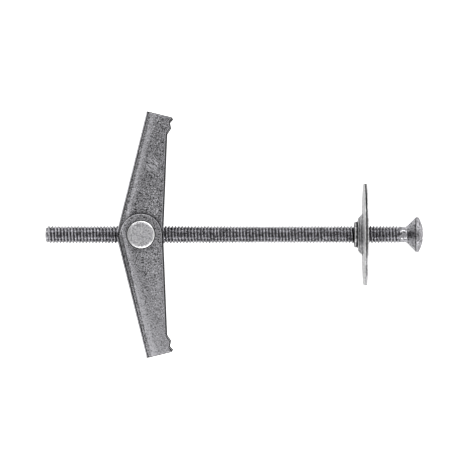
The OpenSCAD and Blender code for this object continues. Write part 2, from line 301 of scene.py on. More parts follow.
# ---- Screw ----
# A raised countersunk M4 machine screw of mild steel: the head is cold-forged with its cross
# recess, the thread is rolled and runs out just below the head, and the whole is zinc plated.
SCREW_LENGTH = 79.8 * MM
THREAD_RADIUS = 1.95 * MM
THREAD_PITCH = 0.7 * MM
THREAD_DEPTH = 0.613 * THREAD_PITCH
FLANK = THREAD_DEPTH * math.tan(math.radians(30))
NECK_DEPTH = 0.325 * THREAD_PITCH
NECK_LENGTH = 1.4 * MM
NECK_FILLET = 0.5 * MM
HEAD_RIM = 0.6 * MM
HEAD_DOME = 1.05 * MM
RIM_SHADE = 0.28 * MM
NECK_STUB = 0.3 * MM
NECK_SEAM = 0.05 * MM
POINT_CROWN = 0.2 * MM
POINT_FLAT_RADIUS = 0.75 * MM
WELD = 0.0005 * MM
ON_PLANE = 0.0001 * MM
END_REACH = 0.0002 * MM


def span(node):
    """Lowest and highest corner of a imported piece, measured about the nut's axis."""
    back = LAY.inverted()
    points = [back @ vertex.co for vertex in frame["nodes"][node].data.vertices]
    low = Vector([min(p[i] for p in points) for i in range(3)])
    high = Vector([max(p[i] for p in points) for i in range(3)])
    return low, high


def put_down():
    """Leaves edit mode, with nothing selected."""
    if bpy.context.mode != "OBJECT":
        bpy.ops.object.mode_set(mode="OBJECT")
    bpy.ops.object.select_all(action="DESELECT")


def take_up(piece):
    """Selects one piece alone."""
    put_down()
    piece.select_set(True)
    bpy.context.view_layer.objects.active = piece


def settle(piece):
    """Gives a piece its place in its own mesh, with its object at the origin."""
    take_up(piece)
    bpy.ops.object.transform_apply(location=True, rotation=True, scale=True)


def lay_down(piece):
    """Lays a piece modelled about the nut's axis down with the bolt."""
    piece.matrix_world = LAY @ piece.matrix_world
    settle(piece)


screw_low, screw_high = span("screw")
point_x = screw_low.x
head_radius = screw_high.y
neck_radius = THREAD_RADIUS - NECK_DEPTH
root_radius = THREAD_RADIUS - THREAD_DEPTH
rim_x = point_x + SCREW_LENGTH
dome_x = rim_x + HEAD_RIM
dome_top_x = dome_x + HEAD_DOME
cone_x = rim_x - (head_radius - neck_radius)
thread_end_x = cone_x - NECK_LENGTH


def trace(name, points, closed=False):
    """Draws a line: a plane is merged into its first point, and each next one is extruded."""
    put_down()
    bpy.ops.mesh.primitive_plane_add(size=MM)
    piece = bpy.context.object
    piece.name = name
    bpy.ops.object.mode_set(mode="EDIT")
    bpy.ops.mesh.select_mode(type="VERT")
    bpy.ops.mesh.select_all(action="SELECT")
    bpy.ops.mesh.merge(type="CENTER")
    bpy.ops.transform.translate(value=points[0])
    for here, there in zip(points, points[1:]):
        bpy.ops.mesh.extrude_region_move(TRANSFORM_OT_translate={"value": there - here})
    bpy.ops.mesh.select_all(action="SELECT")
    if closed:
        bpy.ops.mesh.edge_face_add()
    return piece


def arc(centre, radius, start, stop, steps):
    """Points along an arc in the XY plane, from one angle to another in degrees."""
    angles = [math.radians(start + (stop - start) * i / steps) for i in range(steps + 1)]
    return [Vector(centre) + radius * Vector((math.cos(a), math.sin(a), 0)) for a in angles]


def point(along, out):
    """A point of an outline: how far along X, and how far out from it."""
    return Vector((along, out, 0))


def select_where(test):
    """Selects, in edit mode, the vertices whose place passes a test and what lies between them."""
    bpy.ops.object.mode_set(mode="OBJECT")
    piece = bpy.context.object
    for part in (piece.data.polygons, piece.data.edges):
        for item in part:
            item.select = False
    for vertex in piece.data.vertices:
        vertex.select = test(vertex.co)
    bpy.ops.object.mode_set(mode="EDIT")
    bpy.ops.mesh.select_mode(type="VERT")


def turn_outwards(piece):
    """Merges doubles and turns the faces outwards."""
    take_up(piece)
    bpy.ops.object.mode_set(mode="EDIT")
    bpy.ops.mesh.select_all(action="SELECT")
    bpy.ops.mesh.remove_doubles(threshold=WELD)
    bpy.ops.mesh.normals_make_consistent(inside=False)
    bpy.ops.object.mode_set(mode="OBJECT")


def smooth(piece, angle):
    """Shades a piece smooth, apart from edges sharper than an angle in degrees."""
    take_up(piece)
    bpy.ops.object.shade_smooth_by_angle(angle=math.radians(angle))


def apply_modifier(piece, kind, **settings):
    """Gives a piece a modifier and applies it."""
    take_up(piece)
    modifier = piece.modifiers.new(kind.title(), kind)
    for setting, value in settings.items():
        setattr(modifier, setting, value)
    bpy.ops.object.modifier_apply(modifier=modifier.name)


def cut(piece, tool, operation="DIFFERENCE"):
    """Cuts a tool's shape out of a piece, or keeps what the two share, and drops the tool."""
    turn_outwards(tool)
    apply_modifier(piece, "BOOLEAN", object=tool, operation=operation, solver="EXACT")
    bpy.data.objects.remove(tool)


def spin_about_x(name, outline, steps, closed=False):
    """Turns an outline of places along X and radii round the X axis."""
    piece = trace(name, outline)
    if closed:
        ends = (outline[0], outline[-1])
        select_where(lambda co: min((co - end).length for end in ends) < END_REACH)
        bpy.ops.mesh.edge_face_add()
        bpy.ops.mesh.select_all(action="SELECT")
    bpy.ops.mesh.spin(steps=steps, angle=math.tau, center=(0, 0, 0), axis=(1, 0, 0))
    turn_outwards(piece)
    return piece


# the thread is one pitch of its section, drawn from root to root and wound up along the screw
CREST_SHARE = 0.4
CREST_SPREAD = 0.06
THREAD_SOFT = 0.03 * MM
THREAD_STEPS = 48
TURNS_BEFORE_POINT = 1.5
SPARE_TURNS = 3
root_flat = THREAD_PITCH - 2 * FLANK
crest_flat = CREST_SHARE * root_flat
section = [
    point(0, root_radius + THREAD_SOFT),
    point((root_flat - crest_flat) / 2, root_radius),
    point(root_flat - crest_flat, root_radius + THREAD_SOFT),
    point(root_flat - crest_flat + (1 - CREST_SPREAD) * FLANK, THREAD_RADIUS - THREAD_SOFT),
    point(root_flat - crest_flat / 2 + FLANK, THREAD_RADIUS),
    point(root_flat + (1 + CREST_SPREAD) * FLANK, THREAD_RADIUS - THREAD_SOFT),
    point(THREAD_PITCH, root_radius + THREAD_SOFT),
]
thread_start = point(point_x - TURNS_BEFORE_POINT * THREAD_PITCH, 0)
turns = math.ceil((thread_end_x - point_x) / THREAD_PITCH) + SPARE_TURNS
screw = trace("threaded_screw", [p + thread_start for p in section])
apply_modifier(
    screw, "SCREW", axis="X", angle=math.tau, screw_offset=THREAD_PITCH, iterations=turns,
    steps=THREAD_STEPS, render_steps=THREAD_STEPS, use_merge_vertices=True, merge_threshold=WELD,
)
turn_outwards(screw)

# the point is chamfered, and at the head end the groove fills and the crest falls to the neck
for vertex in screw.data.vertices:
    x = vertex.co.x
    radius = math.hypot(vertex.co.y, vertex.co.z)
    chamfer = root_radius + max(0, x - point_x - POINT_CROWN)
    fade = min(max((x - thread_end_x) / THREAD_PITCH + 0.5, 0), 1)
    crest_limit = THREAD_RADIUS + (neck_radius - THREAD_RADIUS) * fade
    fill = root_radius + (neck_radius - root_radius) * fade
    wanted = max(min(radius, chamfer, crest_limit), min(fill, chamfer))
    vertex.co.y *= wanted / radius
    vertex.co.z *= wanted / radius
neck_start_x = thread_end_x + THREAD_PITCH
bpy.ops.object.mode_set(mode="EDIT")
for plane_x, at_point in ((neck_start_x, False), (point_x + POINT_CROWN, True)):
    bpy.ops.mesh.select_all(action="SELECT")
    bpy.ops.mesh.bisect(
        plane_co=(plane_x, 0, 0), plane_no=(1, 0, 0), use_fill=at_point,
        clear_inner=at_point, clear_outer=not at_point, threshold=ON_PLANE,
    )
bpy.ops.mesh.extrude_region_move(TRANSFORM_OT_translate={"value": (-POINT_CROWN, 0, 0)})
point_share = POINT_FLAT_RADIUS / root_radius
bpy.ops.transform.resize(value=(1, point_share, point_share), center_override=(point_x, 0, 0))

# the head is turned on from the neck, with a rounded rim and a dome on top
# HALF_BEND times a radius is how far from the corner of a 45-degree bend its rounding starts
HEAD_STEPS = 96
HALF_BEND = math.tan(math.radians(22.5))
fillet_x = cone_x - NECK_FILLET * HALF_BEND
dome_radius = (head_radius**2 + HEAD_DOME**2) / (2 * HEAD_DOME)
dome_spread = math.degrees(math.asin(head_radius / dome_radius))
outline = [point(neck_start_x - NECK_STUB, neck_radius)]
outline += arc((fillet_x, neck_radius + NECK_FILLET, 0), NECK_FILLET, 270, 315, 6)
outline += [point(rim_x - RIM_SHADE, head_radius - RIM_SHADE)]
outline += [point(rim_x, head_radius), point(dome_x, head_radius)]
outline += arc((dome_top_x - dome_radius, 0, 0), dome_radius, dome_spread, 0, 14)[1:]
head = spin_about_x("head", outline, HEAD_STEPS)

# a four-winged punch, narrower towards its point, strikes the cross recess
RECESS_ACROSS = 4.9 * MM
RECESS_WING = 1.25 * MM
RECESS_DEPTH = 2.5 * MM
RECESS_FLANK = math.radians(26.5)
RECESS_CORE = 1.125 * MM
RECESS_TURN = 45
PUNCH_OVER = 1 * MM
HEAD_WELD = 0.001 * MM
HEAD_EDGE = 0.06 * MM
HEAD_SHARP = math.radians(35)
punch_height = RECESS_DEPTH + PUNCH_OVER
punch_foot = RECESS_ACROSS / 2 - RECESS_DEPTH * math.tan(RECESS_FLANK)
punch_top = punch_foot + punch_height * math.tan(RECESS_FLANK)
punch_middle = dome_top_x - RECESS_DEPTH + punch_height / 2
take_up(head)
bpy.ops.object.mode_set(mode="EDIT")
select_where(lambda co: abs(co.x - outline[0].x) < HEAD_WELD)
bpy.ops.mesh.edge_face_add()
bpy.ops.object.mode_set(mode="OBJECT")
for turn in (0, 90):
    put_down()
    bpy.ops.mesh.primitive_cube_add(size=1, location=(punch_middle, 0, 0))
    punch = bpy.context.object
    punch.scale = (punch_height, 2 * punch_top, RECESS_WING)
    settle(punch)
    bpy.ops.object.mode_set(mode="EDIT")
    select_where(lambda co: co.x < punch_middle)
    narrow = punch_foot / punch_top
    bpy.ops.transform.resize(value=(1, narrow, 1))
    bpy.ops.object.mode_set(mode="OBJECT")
    punch.rotation_euler.x = math.radians(RECESS_TURN + turn)
    settle(punch)
    cut(head, punch)
put_down()
bpy.ops.mesh.primitive_cone_add(
    vertices=48, radius1=RECESS_CORE / 2, radius2=RECESS_CORE, depth=punch_height,
    location=(punch_middle, 0, 0), rotation=(0, math.radians(90), 0),
)
core = bpy.context.object
settle(core)
cut(head, core)

# its edges are broken, and its neck is joined to the thread
take_up(head)
bpy.ops.object.mode_set(mode="EDIT")
bpy.ops.mesh.select_all(action="SELECT")
bpy.ops.mesh.remove_doubles(threshold=HEAD_WELD)
bpy.ops.mesh.select_all(action="DESELECT")
bpy.ops.mesh.select_mode(type="EDGE")
bpy.ops.mesh.edges_select_sharp(sharpness=HEAD_SHARP)
bpy.ops.mesh.bevel(offset=HEAD_EDGE, segments=2)
bpy.ops.mesh.select_all(action="SELECT")
bpy.ops.mesh.fill_holes(sides=12)
bpy.ops.mesh.select_all(action="SELECT")
bpy.ops.mesh.bisect(
    plane_co=(neck_start_x + NECK_SEAM, 0, 0), plane_no=(1, 0, 0), clear_inner=True,
    threshold=ON_PLANE,
)
bpy.ops.object.mode_set(mode="OBJECT")
put_down()
head.select_set(True)
screw.select_set(True)
bpy.context.view_layer.objects.active = screw
bpy.ops.object.join()
bpy.ops.object.mode_set(mode="EDIT")
select_where(lambda co: -WELD < co.x - neck_start_x < NECK_SEAM + WELD)
bpy.ops.mesh.bridge_edge_loops()
turn_outwards(screw)
smooth(screw, 40)

# painted shade in the thread's roots, on the rim's edge and on the cone, and a rubbed dome
ROOT_SHADE = -0.55
ROOT_SHARE = 0.7
DOME_WEAR = 0.8
DOME_FROM_RIM = 0.03 * MM
RIM_EDGE_SHADE = -0.8
CONE_SHADE = -0.22


def screw_wear_and_shade(face, place):
    """The dome is rubbed, and painted shade darkens the thread's roots, the cone and the rim's edge
    on it.
    """
    if place.x < neck_start_x:
        height = (math.hypot(place.y, place.z) - root_radius) / THREAD_DEPTH
        return ROOT_SHADE * (1 - min(max(height / ROOT_SHARE, 0), 1))
    if face.center.x > rim_x + DOME_FROM_RIM:
        return DOME_WEAR
    return RIM_EDGE_SHADE if face.center.x > rim_x - RIM_SHADE else CONE_SHADE


mark_wear_and_painted_light(screw, screw_wear_and_shade)
screw_zinc = zinc(
    "screw_zinc", base=grey(0.88), dull=grey(0.42), dark=grey(0.06), bright=grey(0.95),
    rubbed=grey(0.64), patch_scale=700, patch_amount=0.5, speck_scale=3200,
    bright_specks=0.9, dark_specks=0.9, smooth=0.18, rough=0.36, rubbed_rough=0.55, pits=1.0,
)
screw.data.materials.clear()
screw.data.materials.append(screw_zinc)
lay_down(screw)
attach(screw, "screw")
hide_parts("screw")

# ---- Cup washer ----
# A washer pressed from sheet: a flat flange, a cup that the screw's head sinks into, and a
# short collar drawn out round the hole. Its rim is sheared and tumbled, and it slides freely.
SHEET = 0.8 * MM
CUP_MOUTH = 4.4 * MM
CUP_SHOULDER = 3.55 * MM
WASHER_BORE = 2.05 * MM
COLLAR_WALL = 0.75 * MM
CUP_FILLET = 0.5 * MM
WASHER_EDGE = 0.12 * MM
# a band round the rim, this far from the face and this wide, is painted with shade on one side
SHADE_BAND_FROM_FACE = 0.25 * MM
SHADE_BAND_WIDTH = 0.35 * MM
CONE_RINGS = 7
COLLAR_EDGE = 0.3 * MM
COLLAR_FILLET = 0.1 * MM
WASHER_STEPS = 128
SHADE_BAND_TURN = math.radians(20)

washer_low, washer_high = span("cup_washer")
washer_radius = washer_high.y
face_x = washer_high.x
collar_radius = WASHER_BORE + COLLAR_WALL
slant = SHEET * math.sqrt(2)
cone_root = CUP_MOUTH - SHEET + slant
shoulder_x = face_x - (CUP_MOUTH + slant - CUP_SHOULDER)
seat_x = face_x - (CUP_MOUTH - WASHER_BORE)
rim_corner = washer_radius - WASHER_EDGE
outline = arc((face_x - WASHER_EDGE, rim_corner, 0), WASHER_EDGE, 0, 90, 3)
outline += [point(face_x - SHADE_BAND_FROM_FACE, washer_radius), point(face_x - SHADE_BAND_FROM_FACE - SHADE_BAND_WIDTH, washer_radius)]
outline += arc((face_x - SHEET + WASHER_EDGE, rim_corner, 0), WASHER_EDGE, 90, 180, 3)
tangent = CUP_FILLET * HALF_BEND
outline += arc((face_x - SHEET - CUP_FILLET, cone_root + tangent, 0), CUP_FILLET, 0, -45, 6)
round_x = shoulder_x + COLLAR_EDGE
shoulder_bend = arc((round_x, CUP_SHOULDER - COLLAR_EDGE * HALF_BEND, 0), COLLAR_EDGE, 135, 180, 4)
cone_start = outline[-1]
outline += [cone_start.lerp(shoulder_bend[0], i / CONE_RINGS) for i in range(1, CONE_RINGS)]
outline += shoulder_bend
foot_x = shoulder_x - COLLAR_FILLET
outline += arc((foot_x, collar_radius + COLLAR_FILLET, 0), COLLAR_FILLET, 0, -90, 3)
collar_x = washer_low.x + COLLAR_EDGE
outline += arc((collar_x, collar_radius - COLLAR_EDGE, 0), COLLAR_EDGE, 90, 180, 5)
outline += [point(washer_low.x, WASHER_BORE), point(seat_x, WASHER_BORE)]
outline += arc((face_x - CUP_FILLET, CUP_MOUTH + tangent, 0), CUP_FILLET, -45, 0, 6)
washer = spin_about_x("pressed_washer", outline, WASHER_STEPS, closed=True)
smooth(washer, 35)
flange_from = cone_root + tangent

RIM_RUB = 0.9
# the rim's band is rubbed on one side and painted dark with shade on the other
SHADE_BAND_RUB = 0.6
SHADE_BAND_DEPTH = 3
FLANGE_RUB = 0.8
DRAW_SPACING = 0.06 * MM
DRAW_DEPTH = 1.3
CUP_WEAR = -0.2


def washer_wear_and_shade(face, place):
    """The flange is rubbed, its rim has a band painted with shade on one side, and the cup has draw
    marks.
    """
    middle = face.center
    out = math.hypot(middle.y, middle.z)
    if out > rim_corner:
        shaded_side = 0.5 + 0.5 * math.sin(math.atan2(middle.y, middle.z) + SHADE_BAND_TURN)
        if face_x - SHADE_BAND_FROM_FACE - SHADE_BAND_WIDTH < middle.x < face_x - SHADE_BAND_FROM_FACE:
            return SHADE_BAND_RUB - SHADE_BAND_DEPTH * shaded_side
        return RIM_RUB
    if out > flange_from:
        return FLANGE_RUB
    return DRAW_DEPTH * math.sin(place.length / DRAW_SPACING) + CUP_WEAR


mark_wear_and_painted_light(washer, washer_wear_and_shade)
washer_zinc = zinc(
    "washer_zinc", base=grey(0.48), dull=grey(0.32), dark=grey(0.03), bright=grey(0.95, 0),
    rubbed=grey(0.97, 0), patch_scale=600, patch_amount=0.6, speck_scale=3000,
    bright_specks=0.9, dark_specks=0.8, smooth=0.28, rough=0.45, rubbed_rough=0.5, pits=0.35,
)
washer.data.materials.append(washer_zinc)
lay_down(washer)
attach(washer, "cup_washer")
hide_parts("cup_washer")

# ---- Cross nut ----
# A turned steel bar that the wings pivot on. It is bored and tapped across for the screw, and
# a ring-shaped punch has spread each end so that the wings' ears can't come off.
NUT_RADIUS = 2.85 * MM
NUT_RIM = 2.95 * MM
NUT_BORE = 2.0 * MM
NUT_SINK = 0.3 * MM
NUT_EDGE = 0.08 * MM
FLARE_FROM_END = 0.55 * MM
LIP_RADIUS = 2.72 * MM
LIP_SLOPE = math.radians(27)
LIP_ROUND = 0.3
STAKE_RADIUS = 2.6 * MM
STAKE_DEPTH = 0.08 * MM
NUT_STEPS = 96
# a painted highlight on the rubbed rim, and painted shade in the punch's ring
LIP_HIGHLIGHT_AND_WEAR = 1
STAKE_SHADE = -0.3

nut_half = span("cross_nut")[1].z
half = [point(0, NUT_RADIUS), point(nut_half - FLARE_FROM_END, NUT_RADIUS)]
half += [point(nut_half - FLARE_FROM_END + NUT_RIM - NUT_RADIUS, NUT_RIM)]
rim_z = nut_half - (NUT_RIM - LIP_RADIUS) * math.tan(LIP_SLOPE)
half += arc((rim_z - NUT_EDGE, NUT_RIM - NUT_EDGE, 0), NUT_EDGE, 90, 90 * LIP_ROUND, 3)
half += [
    point(nut_half, LIP_RADIUS), point(nut_half - STAKE_DEPTH, STAKE_RADIUS),
    point(nut_half, 2 * STAKE_RADIUS - LIP_RADIUS), point(nut_half, 0),
]
outline = [point(-p.x, p.y) for p in half[:0:-1]] + half
nut = spin_about_x("cross_bar_nut", outline, NUT_STEPS)
nut.rotation_euler.y = math.radians(-90)
settle(nut)

# a drill goes right through it, and a countersink opens the bore on each side
for radius, middle, depth, mouth in (
    (NUT_BORE, 0, 4 * NUT_RADIUS, NUT_BORE),
    (NUT_BORE, NUT_RADIUS, 2 * NUT_SINK, NUT_BORE + 2 * NUT_SINK),
    (NUT_BORE + 2 * NUT_SINK, -NUT_RADIUS, 2 * NUT_SINK, NUT_BORE),
):
    put_down()
    bpy.ops.mesh.primitive_cone_add(
        vertices=64, radius1=radius, radius2=mouth, depth=depth,
        location=(middle, 0, 0), rotation=(0, math.radians(90), 0),
    )
    drill = bpy.context.object
    settle(drill)
    cut(nut, drill)
turn_outwards(nut)
smooth(nut, 20)


def nut_highlight_and_shade(face, place):
    """The spread rim is rubbed bright and given a painted highlight, and the punch's ring inside it
    painted shade.
    """
    out = math.hypot(face.center.x, face.center.y)
    at_end = abs(face.center.z) > rim_z - NUT_EDGE
    if not at_end or out <= STAKE_RADIUS:
        return 0
    return LIP_HIGHLIGHT_AND_WEAR if out > LIP_RADIUS else STAKE_SHADE


mark_wear_and_painted_light(nut, nut_highlight_and_shade)
nut_zinc = zinc(
    "nut_zinc", base=grey(0.72, 0.5), dull=grey(0.52, 0.5), dark=grey(0.36, 0.5),
    bright=grey(0.95, 0), rubbed=grey(0.95, 0), patch_scale=900, patch_amount=0.4,
    speck_scale=3400, bright_specks=0.8, dark_specks=0.8, smooth=0.32, rough=0.45,
    rubbed_rough=0.2, pits=0,
)
nut.data.materials.append(nut_zinc)
lay_down(nut)
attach(nut, "cross_nut")
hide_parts("cross_nut")

# ---- Wings ----
# Two copies of one pressing: a blank with two ears and toothed edges, folded into a channel.
# One ear of each is set in by the sheet's thickness, so that the pair nests round the nut.
WING_LENGTH = 26 * MM
WEB_INSIDE = 4.4 * MM
BEND_INSIDE = 0.35 * MM
EAR_RADIUS = 4.6 * MM
INNER_EAR_RADIUS = 4.2 * MM
EAR_HOLE = 2.92 * MM
INNER_EAR_Z = 3.55 * MM
OUTER_EAR_Z = 4.45 * MM
TIP_DEPTH = 5.3 * MM
OPEN_SLOPE = math.radians(13.9)
TOOTH_TIPS = (WING_LENGTH - 2.15 * MM, WING_LENGTH - 0.1 * MM)
TOOTH_HEIGHT = 0.52 * MM
TOOTH_LEAD = 1.45 * MM
TOOTH_FALL = 1.066 * MM
STOP_GAP = 0.05 * MM
NOTCH_RADIUS = 2.2 * MM
NOTCH_AT = -0.82 * MM
FAR = 8 * MM
DIE_ROLL = 0.30 * MM
SLIVER = 0.035 * MM
STOP_CORNER = 0.6 * MM
STRAIGHT = math.radians(0.5)
SHARP = math.radians(40)

bend_outside = BEND_INSIDE + SHEET
web_outside = WEB_INSIDE + SHEET
edge_y = web_outside - TIP_DEPTH
stop_x = (STOP_GAP - WEB_INSIDE * math.sin(OPEN_SLOPE)) / math.cos(OPEN_SLOPE)
top_z, low_z = INNER_EAR_Z + SHEET, -OUTER_EAR_Z - SHEET


def block(low, high):
    """A box between two corners, used as a cutting tool."""
    put_down()
    low, high = Vector(low), Vector(high)
    bpy.ops.mesh.primitive_cube_add(size=1, location=(low + high) / 2)
    piece = bpy.context.object
    piece.scale = high - low
    settle(piece)
    return piece


def rod(radius, length, location, turn=(0, 0, 0)):
    """A round bar, used as a drill."""
    put_down()
    bpy.ops.mesh.primitive_cylinder_add(
        vertices=96, radius=radius, depth=length, location=location, rotation=turn
    )
    piece = bpy.context.object
    settle(piece)
    return piece


def drawn_out(name, outline, by):
    """A flat outline, filled and drawn out to a solid."""
    piece = trace(name, outline, closed=True)
    bpy.ops.mesh.extrude_region_move(TRANSFORM_OT_translate={"value": by})
    turn_outwards(piece)
    return piece


def upright(points, x):
    """Outline points from the XY plane, stood up in the YZ plane."""
    return [Vector((x, p.x, p.y)) for p in points]


# the channel's section: two flanges, a web and two bends
inner, outer = BEND_INSIDE, bend_outside
section = [point(-FAR, low_z)]
section += arc((web_outside - outer, low_z + outer, 0), outer, -90, 0, 8)
section += arc((web_outside - outer, top_z - outer, 0), outer, 0, 90, 8)
section += [point(-FAR, top_z), point(-FAR, INNER_EAR_Z)]
section += arc((WEB_INSIDE - inner, INNER_EAR_Z - inner, 0), inner, 90, 0, 5)
section += arc((WEB_INSIDE - inner, -OUTER_EAR_Z + inner, 0), inner, 0, -90, 5)
section += [point(-FAR, -OUTER_EAR_Z)]
wing = drawn_out("wing", upright(section, -FAR), (WING_LENGTH + 2 * FAR, 0, 0))

# its side view: the ear, the straight edge, the teeth and the square tip
foot = point(TOOTH_TIPS[0] - TOOTH_LEAD, edge_y)
touch = math.degrees(math.atan2(foot.y, foot.x) - math.acos(EAR_RADIUS / foot.length))
ear_start = math.degrees(math.acos(stop_x / EAR_RADIUS))
side = [point(WING_LENGTH, web_outside + MM), point(stop_x, web_outside + MM)]
side += arc((0, 0, 0), EAR_RADIUS, ear_start, 360 + touch, 48)
side += [foot, point(TOOTH_TIPS[0], edge_y - TOOTH_HEIGHT)]
side += [point(TOOTH_TIPS[0] + TOOTH_FALL, edge_y), point(TOOTH_TIPS[1], edge_y - TOOTH_HEIGHT)]
side += [point(WING_LENGTH, edge_y - TOOTH_HEIGHT / 2)]
blank = drawn_out("blank", [p - Vector((0, 0, FAR)) for p in side], (0, 0, 2 * FAR))
cut(wing, blank, "INTERSECT")

# the inset ear is smaller, and it clears the other wing's web
trim = [point(-FAR, -FAR), point(EAR_RADIUS, -FAR), point(EAR_RADIUS, -INNER_EAR_RADIUS)]
inner_start = math.degrees(math.acos(stop_x / INNER_EAR_RADIUS))
trim += arc((0, 0, 0), INNER_EAR_RADIUS, 270, inner_start, 36)
trim += [point(stop_x, FAR), point(-FAR, FAR)]
cut(wing, drawn_out("trim", trim, (0, 0, FAR)))
cut(wing, block((-FAR, 0, -OUTER_EAR_Z), (stop_x, FAR, INNER_EAR_Z)))
quarter = math.radians(90)
cut(wing, rod(NOTCH_RADIUS, 2 * FAR, (NOTCH_AT, FAR, 0), (quarter, 0, 0)))
cut(wing, block((-FAR, 0, -NOTCH_RADIUS), (NOTCH_AT, FAR, NOTCH_RADIUS)))
cut(wing, rod(EAR_HOLE, 2 * FAR, (0, 0, 0)))
turn_outwards(wing)
bpy.ops.object.mode_set(mode="EDIT")
bpy.ops.mesh.select_all(action="SELECT")
bpy.ops.mesh.dissolve_limited(angle_limit=STRAIGHT)
bpy.ops.mesh.select_all(action="SELECT")
bpy.ops.mesh.remove_doubles(threshold=SLIVER)
wing.data.materials.clear()

# its edges roll over where the die sheared them, and a second material marks them for
# wing_highlight_and_shade.
# Edges that run through the sheet and those at the stop's corner stay sharp
wing.data.materials.append(None)
wing.data.materials.append(None)
bpy.ops.mesh.select_mode(type="EDGE")
bpy.ops.mesh.select_all(action="DESELECT")
bpy.ops.mesh.edges_select_sharp(sharpness=SHARP)
bpy.ops.object.mode_set(mode="OBJECT")
corner = Vector((stop_x, web_outside - bend_outside))
for part in (wing.data.vertices, wing.data.polygons):
    for item in part:
        item.select = False
for side_edge in wing.data.edges:
    ends = [wing.data.vertices[i].co.xy for i in side_edge.vertices]
    upright_edge = (ends[0] - ends[1]).length < SLIVER
    if upright_edge or min((end - corner).length for end in ends) < STOP_CORNER:
        side_edge.select = False
bpy.ops.object.mode_set(mode="EDIT")
bpy.ops.mesh.bevel(
    offset=DIE_ROLL, segments=4, material=1, clamp_overlap=False, miter_outer="ARC"
)
bpy.ops.object.mode_set(mode="OBJECT")
turn_outwards(wing)
smooth(wing, 35)

# rolled edges are rubbed and given a painted highlight near the faces, then painted shade, as on
# sheared walls
LEVEL = 0.05
ROLLED = 1
ROLL_HIGHLIGHT_AND_WEAR = 1
ROLL_HIGHLIGHT_TILT = 25
WALL_TILT = 60
SHEARED_SHADE = -1.5


def wing_highlight_and_shade(face, place):
    """Rolled edges are rubbed and painted light where they leave the faces, and painted dark with
    shade further round, as are sheared walls.
    """
    of_web = face.normal.y > 0 or face.center.y > WEB_INSIDE - BEND_INSIDE
    if abs(face.normal.x) < LEVEL and of_web:
        return 0
    tilt = math.degrees(math.acos(min(abs(face.normal.z), 1)))
    if face.material_index == ROLLED:
        return ROLL_HIGHLIGHT_AND_WEAR if tilt < ROLL_HIGHLIGHT_TILT else SHEARED_SHADE
    return SHEARED_SHADE if tilt > WALL_TILT else 0


mark_wear_and_painted_light(wing, wing_highlight_and_shade)
for face in wing.data.polygons:
    face.material_index = 0

# a wing's zinc has painted shade round the nut, painted reflections light and dark by turns
# towards its bend, and is lighter towards its tip. Each step says which way it goes, from and to
# which millimetre, and by how much the value changes over it. The left wing has a patch of light
# scuffs halfway along
SHADE_AT_NUT = -0.3
PAINTED_LIGHT_STEPS = [("Round", 3.8, 4.3, 0.3), ("Y", 4.90, 4.98, 1.7)]
BEND_REFLECTION_BANDS = {
    "left_wing": [("Y", 2.7, 3.7, 0.5), ("Y", 4.05, 4.25, -0.85), ("Y", 4.70, 4.84, -0.7)],
    "right_wing": [("Y", 2.6, 3.1, 0.42), ("Y", 3.95, 4.2, -1.0), ("Y", 4.64, 4.78, -0.85)],
}
TIP_LIGHTENING = {"left_wing": ("X", 6, 25, 0.05), "right_wing": ("X", 6, 25, 0.5)}
SCUFF_PLACE = {"left_wing": (15.2 * MM, 1.2 * MM, 0)}
SCUFF_REACH = 1.9 * MM
SCUFF_TURN = math.radians(59)
SCUFF_SIZE = (1.6 * MM, 0.35 * MM)
SCUFF_BAND = (0.49, 0.57)
WING_GREY = {"left_wing": 0.355, "right_wing": 0.48}
DULL_SHARE = 0.7


def stepped(material, source, low, high, change=1):
    """A value that goes from 0 to a change while its source goes from one limit to the other."""
    step = material.node_tree.nodes.new("ShaderNodeMapRange")
    step.inputs["From Min"].default_value = low
    step.inputs["From Max"].default_value = high
    step.inputs["To Max"].default_value = change
    material.node_tree.links.new(source, step.inputs["Value"])
    return step.outputs["Result"]


def scuffs(material, flat, place, light_and_scuffs):
    """Adds a patch of scuffs, all drawn out one way, to the painted light and shade of a wing."""
    nodes, links = material.node_tree.nodes, material.node_tree.links
    away = nodes.new("ShaderNodeVectorMath")
    away.operation = "DISTANCE"
    away.inputs[1].default_value = place
    links.new(flat, away.inputs[0])
    turned_way = nodes.new("ShaderNodeMapping")
    turned_way.inputs["Rotation"].default_value = (0, 0, -SCUFF_TURN)
    drawn_way = nodes.new("ShaderNodeMapping")
    drawn_way.inputs["Scale"].default_value = (1 / SCUFF_SIZE[0], 1 / SCUFF_SIZE[1], 0)
    links.new(flat, turned_way.inputs["Vector"])
    links.new(turned_way.outputs["Vector"], drawn_way.inputs["Vector"])
    scratches = nodes.new("ShaderNodeTexNoise")
    scratches.inputs["Scale"].default_value = 1
    scratches.inputs["Detail"].default_value = 0
    links.new(drawn_way.outputs["Vector"], scratches.inputs["Vector"])
    near_by = stepped(material, away.outputs["Value"], SCUFF_REACH, 0.5 * SCUFF_REACH)
    light = stepped(material, scratches.outputs["Fac"], *SCUFF_BAND)
    added = nodes.new("ShaderNodeMath")
    added.operation = "MULTIPLY_ADD"
    links.new(near_by, added.inputs[0])
    links.new(light, added.inputs[1])
    links.new(light_and_scuffs, added.inputs[2])
    return added.outputs[0]


